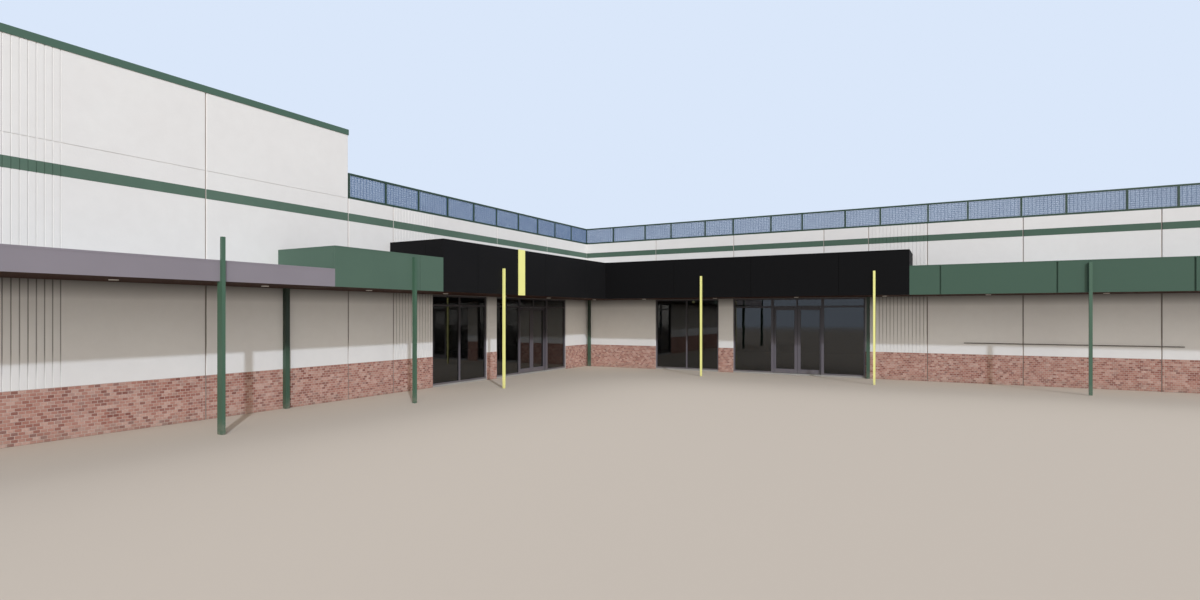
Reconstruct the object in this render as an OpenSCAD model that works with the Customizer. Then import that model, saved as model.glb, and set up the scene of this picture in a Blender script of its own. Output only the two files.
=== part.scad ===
/* [Plan] */
// Length of the west wing, from the inside corner of the L to its south end
west_len = 22000; // [21800:100:24000]
// Length of the north wing, from the inside corner of the L to its east end
north_len = 22600; // [22000:100:24000]
// Depth of both wings behind their front walls
wing_depth = 13200; // [11000:100:15000]
// Thickness of the precast concrete wall panels
wall_t = 180; // [150:10:200]

/* [Heights] */
// Top of the low wall panels, where the roof screen stands
wall_h = 5306; // [5100:1:5600]
// Top of the tall parapet over the south part of the west wing
parapet_h = 7119; // [6600:1:7600]
// Height of the brick facing: sixteen courses of 59 mm
brick_h = 944; // [826:59:1062]
// Underside of the panels over the doors and shop windows
lintel_z = 2850; // [2800:10:2860]
// Underside of the painted stripe
stripe_z = 4729; // [4500:1:4900]
// Height of the painted stripe
stripe_h = 180; // [100:10:300]
// Thickness of the floor that shows above the footpath
floor_t = 50; // [30:5:60]

/* [Canopy] */
// How far the fascias stand out from the walls
canopy_d = 2000; // [1800:50:2400]
// Underside of the soffit
soffit_z = 2860; // [2860:5:2900]
// Top of the low fascia at the south end
low_fascia_z = 3250; // [3200:10:3400]
// Top of the two green fascias
green_fascia_z = 3765; // [3600:5:3900]
// Top of the fascia over the entrances
high_fascia_z = 4280; // [4000:10:4500]
// Face width of the yellow posts and of the low fascia's posts
post_w = 65; // [60:5:100]

/* [Roof screen] */
// Height of the screen above the low walls
screen_h = 681; // [500:1:900]
// Face width of the screen's posts and top rail
screen_bar = 50; // [40:5:80]

/* [Entrances] */
// Width of a door leaf
leaf_w = 890; // [870:10:920]
// Thickness of a door leaf
leaf_t = 45; // [40:1:50]
// Top of the door leaves
leaf_top = 2500; // [2400:5:2500]

/* [Hidden] */

$fn = 48;
eps = 1;

// Joints between wall panels, measured along each front wall from the inside corner
west_joints = [3110, 6260, 11000, 12550, 16210, 20330];
north_joints = [3290, 6570, 9910, 11408, 13240, 15930, 19290];
joint_w = 24;
sealant_in = 20;
sealant_t = 20;
rear_panel_w = 3300;
arris = 10;

// Openings in the front walls, as [start, end]
west_door = [1720, 6290];
west_window = [6820, 9430];
north_window = [3280, 5960];
north_door = [6555, 11310];
west_door_mid = 3980;
north_door_mid = 8955;
west_mullion = 8160;
north_mullion = 4620;

// Grooved stretches of wall, as [first groove, pitch, number of grooves]
west_grooves = [9404, 114, 14];
south_grooves = [18734, 114, 14];
north_grooves = [11523, 115, 15];
groove_w = 20;
groove_d = 11;
groove_draft = 4;

brick_t = 30;
stripe_t = 4;

// Folded metal on top of the walls
lip = 15;
fold_t = 8;
fold_fall = 12;
coping_drop = 100;
capping_drop = 144;
corner_gap = 4;

// The tall parapet turns the corners and is braced from the roof
parapet_side = 3430;
brace_w = 75;
brace_foot = 1900;
brace_head_z = 6500;
brace_at = [14300, 16900, 19300, 21300];

// The roof deck falls 1 in 25 from the front walls to the back walls
deck_front_z = 4300;
deck_t = 110;
deck_fall = 0.04;
beam_d = 400;
beam_w = 180;
beam_web = 12;
beam_flange = 18;
hip_w = 200;
hip_d = 600;
hip_drop = 5;
west_rafters = [3110, 6260, 9420, 12550, 16210, 20330];
north_rafters = [3290, 6570, 9910, 13240, 15930, 19290];
jack_at = [3300, 6600, 9900];
lintel_beam_h = 200;
lintel_beam_d = 150;
lintel_beam_t = 10;
lintel_bearing = 200;
slab_joint = 10;

// Canopy
fascia_t = 50;
seam_w = 12;
seam_d = 15;
soffit_t = 20;
canopy_deck_z = 3060;
canopy_deck_t = 70;
black_end = 11130;
green_end = 14550;
east_black_end = 12800;
west_black_seams = [3520, 6230, 9700];
north_black_seams = [4910, 7800, 10710];
west_green_seams = [11980];
north_green_seams = [13646, 16567, 19512];
low_seams = [17040, 20400];
return_seam = 1340;
wide_seam_w = 45;
wide_seam_d = 30;

low_posts_west = [17040, 21700];
green_posts_west = [12210];
green_posts_north = [17320];
green_post_w = 80;
yellow_posts_west = [8530];
yellow_posts_north = [5980, 11790];
green_post_top = 3690;
yellow_post_top = 3640;
post_reach = 90;
fin = [7430, 7760];
fin_t = 30;
fin_over = 10;

pipe_w = 110;
pipe_wall = 4;
west_pipes = [14320];
north_pipes = [100, 11350];

light_r = 75;
light_hole_r = 55;
light_h = 14;
light_d = 950;
west_lights = [1030, 4450, 7100, 9900, 12700, 15500, 18330, 21300];
north_lights = [3200, 6140, 9140, 12000, 14950, 17860, 20800];

// Roof screen: middles of the posts that divide its bays
west_screen_posts = [1270, 2520, 3740, 4990, 6280, 7490, 8750, 10000, 11260];
north_screen_posts = [1305, 2790, 3954, 5408, 6548, 8005, 9146, 10637, 11786, 13262, 14422,
    15886, 17046, 18510, 19670, 21134];
screen_sill = 60;
screen_in = 10;
mesh_t = 8;

// Shop windows and entrances
frame_in = 40;
frame_d = 90;
frame_w = 50;
jamb_w = 60;
transom_z = 2530;
pane_t = 10;
door_half = 860;
door_post_w = 90;
stile_w = 105;
top_rail_h = 90;
foot_rail_h = 150;
meeting_gap = 5;
leaf_gap = 10;
leaf_clear = 8;
hanger_w = 60;
hanger_t = 25;
hanger_in = 140;
hanger_h = 30;
carriage_t = 60;
carriage_front = 20;
carriage_h = 40;
track_half = 1750;
track_d = 130;
track_h = 170;
track_t = 6;
track_slot = 45;

plan_x = (wing_depth - north_len) / 2;
plan_y = (west_len - wing_depth) / 2;
back = wing_depth - wall_t;
screen_top = wall_h + screen_h;
frame_back = -frame_in - frame_d;
leaf_front = frame_back - leaf_gap;

concrete = "#D9D8D4";
brick_red = "#A5786B";
paint_green = "#546C5E";
screen_green = "#2F5A44";
panel_black = "#1E1E1F";
low_grey = "#868188";
soffit_brown = "#3A2A24";
paint_yellow = "#EDEE90";
charcoal = "#2A2A2E";
glass_grey = "#3A4248";
steel_grey = "#9A9DA0";

// The plan's frame: the inside corner of the L is at 0, 0
module on_plan() translate([plan_x, plan_y, 0]) children();

// Wall frames: x runs along the wall, y points out of it
module on_west_front() on_plan() rotate([0, 0, -90]) children();
module on_north_front() on_plan() mirror([0, 1, 0]) children();
module on_south_end() on_plan() translate([-wing_depth, -west_len, 0]) mirror([0, 1, 0]) children();
module on_west_back() on_plan() translate([-wing_depth, -west_len, 0]) rotate([0, 0, 90]) children();
module on_north_back() on_plan() translate([-wing_depth, wing_depth, 0]) children();
module on_east_end() on_plan() translate([north_len, wing_depth, 0]) rotate([0, 0, -90]) children();

low_south_run = wing_depth - parapet_side;
west_back_run = west_len + wing_depth;
north_back_run = wing_depth + north_len;

// A box from its low corner to its high corner
module block(low, high) translate(low) cube(high - low);

// An outline in y and z, carried along x
module along(from, to) translate([from, 0, 0]) rotate([90, 0, 90]) linear_extrude(to - from) children();

// An outline in x and z, carried along y for a thickness about zero
module across(t) rotate([90, 0, 0]) translate([0, 0, -t / 2]) linear_extrude(t) children();

// Mitres what runs along a wall where the wall turns an outside corner: 1 turns, 0 ends square
function turned_end(end, side, turn, y) = end + side * (turn == 1 ? y - corner_gap / 2 : wall_t);
module turned(from, to, turns) intersection() {
    children();
    translate([0, 0, -eps]) linear_extrude(parapet_h + 2 * eps)
        polygon([[turned_end(from, -1, turns[0], wall_t), wall_t],
            [turned_end(to, 1, turns[1], wall_t), wall_t],
            [turned_end(to, 1, turns[1], -2 * wall_t), -2 * wall_t],
            [turned_end(from, -1, turns[0], -2 * wall_t), -2 * wall_t]]);
}

// Walls with their runs and turns, for what is built of panels
module west_front_wall() on_west_front() turned(0, west_len, [0, 1]) children();
module north_front_wall() on_north_front() turned(-wall_t, north_len, [0, 1]) children();
module south_wall() on_south_end() turned(0, wing_depth, [1, 1]) children();
module west_back_wall() on_west_back() turned(0, west_back_run, [1, 1]) children();
module north_back_wall() on_north_back() turned(0, north_back_run, [1, 1]) children();
module east_wall() on_east_end() turned(0, wing_depth, [1, 1]) children();

function after(joint) = joint + joint_w / 2;
function before(joint) = joint - joint_w / 2;

// Panels as [from, to, bottom, top]; those that stand on the ground are faced with brick
parapet_panel_h = parapet_h - fold_t - fold_fall;
west_panels = [
    [0, before(west_joints[0]), lintel_z, wall_h],
    [after(west_joints[0]), before(west_joints[1]), lintel_z, wall_h],
    [after(west_joints[1]), before(west_joints[2]), lintel_z, wall_h],
    [after(west_joints[2]), before(west_joints[3]), 0, wall_h],
    [after(west_joints[3]), before(west_joints[4]), 0, parapet_panel_h],
    [after(west_joints[4]), before(west_joints[5]), 0, parapet_panel_h],
    [after(west_joints[5]), west_len, 0, parapet_panel_h]];

north_panels = [
    [-wall_t, before(north_joints[0]), 0, wall_h],
    [after(north_joints[0]), before(north_joints[1]), lintel_z, wall_h],
    [after(north_joints[1]), before(north_joints[2]), lintel_z, wall_h],
    [after(north_joints[2]), before(north_joints[3]), lintel_z, wall_h],
    [after(north_joints[3]), before(north_joints[4]), lintel_z, wall_h],
    [after(north_joints[4]), before(north_joints[5]), 0, wall_h],
    [after(north_joints[5]), before(north_joints[6]), 0, wall_h],
    [after(north_joints[6]), north_len, 0, wall_h]];

west_piers = [
    [0, west_door[0], 0, lintel_z],
    [west_door[1], west_window[0], 0, lintel_z],
    [west_window[1], before(west_joints[2]), 0, lintel_z]];
north_piers = [
    [north_window[1], north_door[0], 0, lintel_z],
    [north_door[1], before(north_joints[4]), 0, lintel_z]];

// Equal panels along a hidden wall
function joints_along(run) = [
    for (i = [1:round(run / rear_panel_w) - 1]) round(run * i / round(run / rear_panel_w))];
function panels_between(ends, joints) = [
    for (i = [0:len(joints)])
        [i == 0 ? ends[0] : after(joints[i - 1]),
            i == len(joints) ? ends[1] : before(joints[i]), 0, wall_h]];
function rear_panels(run) = panels_between([0, run], joints_along(run));

south_panels = concat(
    panels_between([0, before(low_south_run)], joints_along(low_south_run)),
    [[after(low_south_run), wing_depth, 0, parapet_panel_h]]);

// A panel's plan, with chamfered arrises
module panel_plan(from, to)
    polygon([[from, -wall_t], [from, -arris], [from + arris, 0],
        [to - arris, 0], [to, -arris], [to, -wall_t]]);

// Precast panels, rebated at the foot where bricks face them
module panels(list)
    for (p = list)
        difference() {
            translate([0, 0, p[2]]) linear_extrude(p[3] - p[2]) panel_plan(p[0], p[1]);
            if (p[2] == 0) block([p[0] - eps, -brick_t, -eps], [p[1] + eps, eps, brick_h]);
        }

// Facing bricks, flush in the rebates
module brick_facing(list)
    for (p = list)
        if (p[2] == 0) block([p[0], -brick_t, 0], [p[1], 0, brick_h]);

// Tapered upright grooves, as battens in the casting form leave them; inset narrows them all round
module grooves(set, bottom, top, inset = 0, out = eps) {
    half = groove_w / 2 - inset;
    for (i = [0:set[2] - 1])
        translate([set[0] + i * set[1], 0, bottom]) linear_extrude(top - bottom)
            polygon([[-half, 0], [groove_draft - half, inset - groove_d],
                [half - groove_draft, inset - groove_d], [half, 0], [half, out], [-half, out]]);
}

// The stripe's paint turns over a panel's arrises, but starts square at the inside corner
module stripe_plan(from, to) {
    start = from < 0
        ? [[arris, 0], [arris, stripe_t]]
        : [[from + arris, 0], [from, -arris], [from, stripe_t - arris], [from + arris, stripe_t]];
    polygon(concat(start,
        [[to - arris, stripe_t], [to, stripe_t - arris], [to, -arris], [to - arris, 0]]));
}

// The stripe crosses each panel, and lines the grooves that it meets
module stripe(list, sets = []) difference() {
    union() {
        for (p = list) translate([0, 0, stripe_z]) linear_extrude(stripe_h) stripe_plan(p[0], p[1]);
        for (set = sets) grooves(set, stripe_z, stripe_z + stripe_h, 0, stripe_t);
    }
    for (set = sets) grooves(set, stripe_z - eps, stripe_z + stripe_h + eps, stripe_t, stripe_t + eps);
}

// Beads set back in the joints between panels
module beads(list, bottom, top)
    for (at = list)
        block([before(at), -sealant_in - sealant_t, bottom], [after(at), -sealant_in, top]);

module west_front_panels() color(concrete) west_front_wall() difference() {
    panels(west_panels);
    grooves(west_grooves, brick_h, wall_h + eps);
    grooves(south_grooves, brick_h, parapet_h);
    block([west_joints[3], -groove_d, wall_h - groove_w / 2], [west_len + eps, eps, wall_h + groove_w / 2]);
}

module north_front_panels() color(concrete) north_front_wall() difference() {
    panels(north_panels);
    grooves(north_grooves, brick_h, wall_h + eps);
}

module front_piers() color(concrete) {
    on_west_front() difference() {
        panels(west_piers);
        grooves(west_grooves, brick_h, lintel_z + eps);
    }
    on_north_front() difference() {
        panels(north_piers);
        grooves(north_grooves, brick_h, lintel_z + eps);
    }
}

module south_end_panels() color(concrete) south_wall() panels(south_panels);
module west_back_panels() color(concrete) west_back_wall() panels(rear_panels(west_back_run));
module north_back_panels() color(concrete) north_back_wall() panels(rear_panels(north_back_run));
module east_end_panels() color(concrete) east_wall() panels(rear_panels(wing_depth));

module west_brick_facing() color(brick_red) west_front_wall() {
    brick_facing(west_panels);
    brick_facing(west_piers);
}

module north_brick_facing() color(brick_red) north_front_wall() {
    brick_facing(north_panels);
    brick_facing(north_piers);
}

module rear_brick_facing() color(brick_red) {
    south_wall() brick_facing(south_panels);
    west_back_wall() brick_facing(rear_panels(west_back_run));
    north_back_wall() brick_facing(rear_panels(north_back_run));
    east_wall() brick_facing(rear_panels(wing_depth));
}

module painted_stripe() color(paint_green) {
    west_front_wall() stripe(west_panels, [west_grooves, south_grooves]);
    north_front_wall() {
        stripe(north_panels, [north_grooves]);
        painted_bead(north_joints[4]);
    }
    south_wall() stripe(south_panels);
    west_back_wall() stripe(rear_panels(west_back_run));
    north_back_wall() stripe(rear_panels(north_back_run));
    east_wall() stripe(rear_panels(wing_depth));
}

// Where the paint runs on over the bead in a joint
module painted_bead(at)
    block([before(at), -sealant_in, stripe_z], [after(at), stripe_t - sealant_in, stripe_z + stripe_h]);

module joint_sealant() color(steel_grey) {
    on_west_front() {
        beads([west_joints[0], west_joints[1]], lintel_z, wall_h);
        beads([west_joints[2], west_joints[3]], 0, wall_h);
        beads([west_joints[4], west_joints[5]], 0, parapet_panel_h);
    }
    on_north_front() {
        beads([for (i = [0:3]) north_joints[i]], lintel_z, wall_h);
        beads([for (i = [4:6]) north_joints[i]], 0, wall_h);
    }
    on_south_end() beads(joints_along(low_south_run), 0, wall_h);
    on_west_back() beads(joints_along(west_back_run), 0, wall_h);
    on_north_back() beads(joints_along(north_back_run), 0, wall_h);
    on_east_end() beads(joints_along(wing_depth), 0, wall_h);
}

// Heights of the roof deck's faces at a distance behind the outside of the front wall
function deck_under(d) = deck_front_z - (d - wall_t) * deck_fall;
function deck_over(d) = deck_under(d) + deck_t;

// A sloping slab in the west wing, between two depths and two distances under the deck
module slope(d0, d1, down0, down1, t)
    across(t) polygon([[-d0, deck_under(d0) - down0], [-d1, deck_under(d1) - down0],
        [-d1, deck_under(d1) - down1], [-d0, deck_under(d0) - down1]]);

// One wing's deck, mitred along the hip over the corner of the L
module wing_deck(run) intersection() {
    slope(wall_t, back, 0, -deck_t, 2 * (run + wing_depth));
    linear_extrude(wall_h) polygon([[-wall_t, wall_t - run], [-wall_t, wall_t],
        [-back, back], [-back, wall_t - run]]);
}

// The north wing is the west wing turned over the hip
module over_hip() mirror([1, 1, 0]) children();

module west_roof_deck() color(steel_grey) on_plan() wing_deck(west_len);
module north_roof_deck() color(steel_grey) on_plan() over_hip() wing_deck(north_len);

// An I beam that follows the deck
module rafter(d0) {
    slope(d0, back, 0, beam_flange, beam_w);
    slope(d0, back, beam_flange, beam_d - beam_flange, beam_web);
    slope(d0, back, beam_d - beam_flange, beam_d, beam_w);
}

// A plate of the hip beam, between two distances under the deck
module hip_plate(w, down0, down1) rotate([0, 0, 135]) across(w)
    polygon([[wall_t * sqrt(2), deck_under(wall_t) - down0],
        [back * sqrt(2) - hip_w / 2, deck_under(back) - down0],
        [back * sqrt(2) - hip_w / 2, deck_under(back) - down1],
        [wall_t * sqrt(2), deck_under(wall_t) - down1]]);

module hip_beam() {
    hip_plate(hip_w, hip_drop, hip_drop + beam_flange);
    hip_plate(beam_web, hip_drop + beam_flange, hip_d - beam_flange);
    hip_plate(hip_w, hip_d - beam_flange, hip_d);
}

module wing_rafters(list)
    for (at = list) translate([0, -at, 0]) rafter(wall_t);

module jack_rafters() difference() {
    for (at = jack_at) translate([0, at, 0]) rafter(at);
    hip_plate(hip_w + 2 * corner_gap, -beam_w, hip_d + eps);
}

module lintel_beam(from, to) difference() {
    block([from - lintel_bearing, -wall_t - lintel_beam_d, lintel_z],
        [to + lintel_bearing, -wall_t, lintel_z + lintel_beam_h]);
    block([from - lintel_bearing - eps, lintel_beam_t - wall_t - lintel_beam_d, lintel_z + lintel_beam_t],
        [to + lintel_bearing + eps, -wall_t - lintel_beam_t, lintel_z + lintel_beam_h - lintel_beam_t]);
}

// A raking strut from the back of the tall parapet down to the roof deck
module parapet_brace() across(brace_w)
    polygon([[-wall_t, brace_head_z], [-wall_t, brace_head_z - 2 * brace_w],
        [brace_w - brace_foot, deck_over(brace_foot - brace_w)], [-brace_foot, deck_over(brace_foot)]]);

module roof_steel() color(steel_grey) {
    on_plan() {
        for (at = brace_at) translate([0, -at, 0]) parapet_brace();
        wing_rafters(west_rafters);
        jack_rafters();
        hip_beam();
        over_hip() wing_rafters(north_rafters);
        over_hip() jack_rafters();
    }
    on_west_front() lintel_beam(west_door[0], west_window[1]);
    on_north_front() lintel_beam(north_window[0], north_door[1]);
}

module parapet_return() color(concrete) on_plan()
    translate([0, -after(west_joints[3]) - wall_t / 2, 0]) across(wall_t)
        polygon([[-wall_t, deck_over(wall_t)], [-wall_t, parapet_panel_h],
            [-parapet_side, parapet_panel_h], [-parapet_side, deck_over(parapet_side)]]);

// Folded metal over the top of a wall, with a long outer leg
module folded(from, to, turns, top, drop)
    turned(from, to, turns) along(from - turns[0] * wall_t, to + turns[1] * wall_t)
        polygon([[0, top - drop], [lip, top - drop], [lip, top], [-wall_t - lip, top - fold_fall],
            [-wall_t - lip, top - drop / 2], [-wall_t, top - drop / 2],
            [-wall_t, top - fold_fall - fold_t], [0, top - fold_fall - fold_t]]);

module parapet_capping() color(screen_green) {
    on_west_front() folded(after(west_joints[3]), west_len, [1, 1], parapet_h, capping_drop);
    on_south_end() folded(after(low_south_run), wing_depth, [0, 1], parapet_h, capping_drop);
    on_plan() translate([-parapet_side, -after(west_joints[3]), 0])
        folded(0, parapet_side, [0, 1], parapet_h, capping_drop);
}

module wall_coping() color(screen_green) {
    top = wall_h + fold_t + fold_fall;
    on_south_end() folded(0, after(low_south_run), [1, 0], top, coping_drop);
    on_west_back() folded(0, west_back_run, [1, 1], top, coping_drop);
    on_north_back() folded(0, north_back_run, [1, 1], top, coping_drop);
    on_east_end() folded(0, back, [1, 0], top, coping_drop);
}

// A screen's bars: sill over the wall's top, posts and top rail
module screen_frame(from, to, posts) {
    low_y = -screen_in - screen_bar;
    block([from, -wall_t, wall_h], [to, 0, wall_h + screen_sill]);
    block([from, low_y, screen_top - screen_bar], [to, -screen_in, screen_top]);
    for (at = concat(posts, to - screen_bar / 2))
        block([at - screen_bar / 2, low_y, wall_h], [at + screen_bar / 2, -screen_in, screen_top]);
}

module west_screen_frame() color(screen_green) on_west_front()
    screen_frame(0, before(west_joints[3]), west_screen_posts);

module north_screen_frame() color(screen_green) on_north_front() {
    screen_frame(-wall_t, north_len, north_screen_posts);
    block([-screen_in - screen_bar, -screen_in - screen_bar, wall_h], [-screen_in, -screen_in, screen_top]);
    block([-screen_in - screen_bar, -screen_in, wall_h], [-screen_in, 0, screen_top]);
}

// Wire mesh, one sheet in each bay
module mesh_sheets(ends, posts) {
    mid = -screen_in - screen_bar / 2;
    stops = concat(ends[0] - screen_bar / 2, posts, ends[1] - screen_bar / 2);
    for (i = [1:len(stops) - 1])
        block([stops[i - 1] + screen_bar / 2, mid - mesh_t / 2, wall_h + screen_sill],
            [stops[i] - screen_bar / 2, mid + mesh_t / 2, screen_top - screen_bar]);
}

module screen_mesh() color(steel_grey) {
    on_west_front() mesh_sheets([0, before(west_joints[3])], west_screen_posts);
    on_north_front() mesh_sheets([-screen_in, north_len], north_screen_posts);
}

module floor_slab() color(low_grey) on_plan() {
    block([-back, wall_t - west_len, 0], [-wall_t, back, floor_t]);
    block([slab_joint - wall_t, wall_t, 0], [north_len - wall_t, back, floor_t]);
}

module sill(opening) block([opening[0], -wall_t, 0], [opening[1], frame_in / 2 - frame_in, floor_t]);

module opening_sills() color(low_grey) {
    on_west_front() {
        sill(west_door);
        sill(west_window);
    }
    on_north_front() {
        sill(north_window);
        sill(north_door);
    }
}

// A fascia with its seams cut into the face
module fascia(from, to, top, seams, w = seam_w, d = seam_d) difference() {
    block([from, canopy_d - fascia_t, soffit_z], [to, canopy_d, top]);
    for (at = seams)
        block([at - w / 2, canopy_d - d, soffit_z - eps], [at + w / 2, canopy_d + eps, top + eps]);
}

// The end of a canopy, from the wall to the back of the fascia
module fascia_return(low, high, top)
    block([low, 0, soffit_z], [high, canopy_d - fascia_t - corner_gap, top]);

module low_fascia() color(low_grey) on_west_front() {
    fascia(green_end, west_len, low_fascia_z, low_seams);
    fascia_return(west_len - fascia_t, west_len, low_fascia_z);
}

module green_fascias() color(paint_green) {
    on_west_front() {
        fascia(black_end, green_end, green_fascia_z, west_green_seams);
        fascia_return(green_end - fascia_t, green_end, green_fascia_z);
    }
    on_north_front() {
        fascia(east_black_end, north_len, green_fascia_z, north_green_seams, wide_seam_w, wide_seam_d);
        fascia_return(north_len - fascia_t, north_len, green_fascia_z);
    }
}

module west_entrance_fascia() color(panel_black) on_west_front() {
    fascia(canopy_d - fascia_t, black_end, high_fascia_z, west_black_seams);
    difference() {
        fascia_return(black_end - fascia_t, black_end, high_fascia_z);
        block([black_end - seam_d, return_seam - seam_w / 2, soffit_z - eps],
            [black_end + eps, return_seam + seam_w / 2, high_fascia_z + eps]);
    }
}

module north_entrance_fascia() color(panel_black) on_north_front() {
    fascia(canopy_d, east_black_end, high_fascia_z, north_black_seams);
    fascia_return(east_black_end - fascia_t, east_black_end, high_fascia_z);
}

// Sheets under and over the canopy, one behind each stretch of fascia
module canopy_sheets(bottom, t) {
    inner = canopy_d - fascia_t;
    on_west_front() {
        block([0, 0, bottom], [black_end - fascia_t, inner, bottom + t]);
        block([black_end, 0, bottom], [green_end - fascia_t, inner, bottom + t]);
        block([green_end, 0, bottom], [west_len - fascia_t, inner, bottom + t]);
    }
    on_north_front() {
        block([inner + seam_w, 0, bottom], [east_black_end - fascia_t, inner, bottom + t]);
        block([east_black_end, 0, bottom], [north_len - fascia_t, inner, bottom + t]);
    }
}

module canopy_soffit() color(soffit_brown) canopy_sheets(soffit_z, soffit_t);
module canopy_deck() color(steel_grey) canopy_sheets(canopy_deck_z, canopy_deck_t);

module downlight(at) translate([at, light_d, soffit_z - light_h]) difference() {
    cylinder(h = light_h, r = light_r);
    translate([0, 0, -eps]) cylinder(h = light_h / 2 + eps, r = light_hole_r);
}

module downlights() color("white") {
    on_west_front() for (at = west_lights) downlight(at);
    on_north_front() for (at = north_lights) downlight(at);
}

module yellow_fin() color(paint_yellow) on_west_front()
    block([fin[0], canopy_d, lintel_z], [fin[1], canopy_d + fin_t, high_fascia_z + fin_over]);

// A square post in front of the fascia
module post(at, width, top)
    block([at - width / 2, canopy_d, 0], [at + width / 2, canopy_d + width, top]);

// A deeper post, notched to reach in under the low fascia
module notched_post(at, top) along(at - post_w / 2, at + post_w / 2)
    polygon([[canopy_d - post_reach, 0], [canopy_d + post_w, 0], [canopy_d + post_w, top],
        [canopy_d, top], [canopy_d, soffit_z], [canopy_d - post_reach, soffit_z]]);

module green_posts() color(paint_green) {
    on_west_front() {
        for (at = low_posts_west) notched_post(at, green_post_top);
        for (at = green_posts_west) post(at, green_post_w, green_post_top);
    }
    on_north_front() for (at = green_posts_north) post(at, green_post_w, green_post_top);
}

module yellow_posts() color(paint_yellow) {
    on_west_front() for (at = yellow_posts_west) post(at, post_w, yellow_post_top);
    on_north_front() for (at = yellow_posts_north) post(at, post_w, yellow_post_top);
}

// Square pipe from the soffit to the ground
module downpipe(at) difference() {
    block([at, 0, 0], [at + pipe_w, pipe_w, soffit_z]);
    block([at + pipe_wall, pipe_wall, -eps],
        [at + pipe_w - pipe_wall, pipe_w - pipe_wall, soffit_z + eps]);
}

module downpipes() color(paint_green) {
    on_west_front() for (at = west_pipes) downpipe(at);
    on_north_front() for (at = north_pipes) downpipe(at);
}

// Lights of a glazed frame, as [from, to, bottom, top] for each pair of columns and rows
function lights(columns, rows) = [for (c = columns) for (r = rows) [c[0], c[1], r[0], r[1]]];

half_w = frame_w / 2;
full_row = [[floor_t + frame_w, lintel_z - frame_w]];
two_rows = [
    [floor_t + frame_w, transom_z - half_w],
    [transom_z + half_w, lintel_z - frame_w]];
head_row = [two_rows[1]];
function halves(window, mullion) = [
    [window[0] + frame_w, mullion - half_w],
    [mullion + half_w, window[1] - frame_w]];
west_window_lights = lights(halves(west_window, west_mullion), two_rows);
north_window_lights = lights(halves(north_window, north_mullion), full_row);

function side_lights(opening, mid) = [
    lights([[opening[0] + jamb_w, mid - door_half - door_post_w]], two_rows),
    lights([[mid + door_half + door_post_w, opening[1] - jamb_w]], two_rows)];
function head_lights(mid) =
    lights([[mid - door_half, mid - half_w], [mid + half_w, mid + door_half]], head_row);

module glazed_frame(from, to, bottom, list) difference() {
    block([from, frame_back, bottom], [to, -frame_in, lintel_z]);
    for (l = list) block([l[0], frame_back - eps, l[2]], [l[1], eps - frame_in, l[3]]);
}

// Frame of the lights over a pair of door leaves
module door_head(mid)
    glazed_frame(mid - door_half, mid + door_half, transom_z - half_w, head_lights(mid));

module window_frames() color(charcoal) {
    on_west_front() {
        glazed_frame(west_window[0], west_window[1], floor_t, west_window_lights);
        door_head(west_door_mid);
    }
    on_north_front() {
        glazed_frame(north_window[0], north_window[1], floor_t, north_window_lights);
        door_head(north_door_mid);
    }
}

module sidelights(opening, mid) {
    glazed_frame(opening[0], mid - door_half, floor_t, side_lights(opening, mid)[0]);
    glazed_frame(mid + door_half, opening[1], floor_t, side_lights(opening, mid)[1]);
}

module sidelight_frames() color(charcoal) {
    on_west_front() sidelights(west_door, west_door_mid);
    on_north_front() sidelights(north_door, north_door_mid);
}

module panes(list)
    for (l = list)
        block([l[0], frame_back + (frame_d - pane_t) / 2, l[2]],
            [l[1], frame_back + (frame_d + pane_t) / 2, l[3]]);

module glazing() color(glass_grey, 0.5) {
    on_west_front() {
        panes(west_window_lights);
        for (set = side_lights(west_door, west_door_mid)) panes(set);
        panes(head_lights(west_door_mid));
    }
    on_north_front() {
        panes(north_window_lights);
        for (set = side_lights(north_door, north_door_mid)) panes(set);
        panes(head_lights(north_door_mid));
    }
}

// Slotted box behind the frame, from which the leaves hang
module door_track(mid) along(mid - track_half, mid + track_half) difference() {
    translate([frame_back - track_d, leaf_top + leaf_gap]) square([track_d, track_h]);
    translate([frame_back - track_d + track_t, leaf_top + leaf_gap + track_t])
        square([track_d - 2 * track_t, track_h - 2 * track_t]);
    translate([leaf_front - leaf_t, leaf_top + leaf_gap - eps]) square([track_slot, track_t + 2 * eps]);
}

module door_tracks() color(charcoal) {
    on_west_front() door_track(west_door_mid);
    on_north_front() door_track(north_door_mid);
}

// A sliding leaf, from its meeting edge outwards along x, with its two hangers
module leaf() {
    foot = floor_t + leaf_clear;
    mid_y = leaf_front - leaf_t / 2;
    difference() {
        block([meeting_gap, leaf_front - leaf_t, foot], [meeting_gap + leaf_w, leaf_front, leaf_top]);
        block([meeting_gap + stile_w, leaf_front - leaf_t - eps, foot + foot_rail_h],
            [meeting_gap + leaf_w - stile_w, leaf_front + eps, leaf_top - top_rail_h]);
    }
    for (at = [meeting_gap + hanger_in, meeting_gap + leaf_w - hanger_in]) {
        block([at - hanger_w / 2, mid_y - hanger_t / 2, leaf_top],
            [at + hanger_w / 2, mid_y + hanger_t / 2, leaf_top + hanger_h]);
        block([at - hanger_w / 2, mid_y + carriage_front - carriage_t, leaf_top + hanger_h],
            [at + hanger_w / 2, mid_y + carriage_front, leaf_top + hanger_h + carriage_h]);
    }
}

module leaf_pane() {
    foot = floor_t + leaf_clear;
    mid_y = leaf_front - leaf_t / 2;
    block([meeting_gap + stile_w, mid_y - pane_t / 2, foot + foot_rail_h],
        [meeting_gap + leaf_w - stile_w, mid_y + pane_t / 2, leaf_top - top_rail_h]);
}

// Places a leaf on either side of the middle of its entrance
module right_of(mid) translate([mid, 0, 0]) children();
module left_of(mid) translate([mid, 0, 0]) mirror([1, 0, 0]) children();

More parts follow.
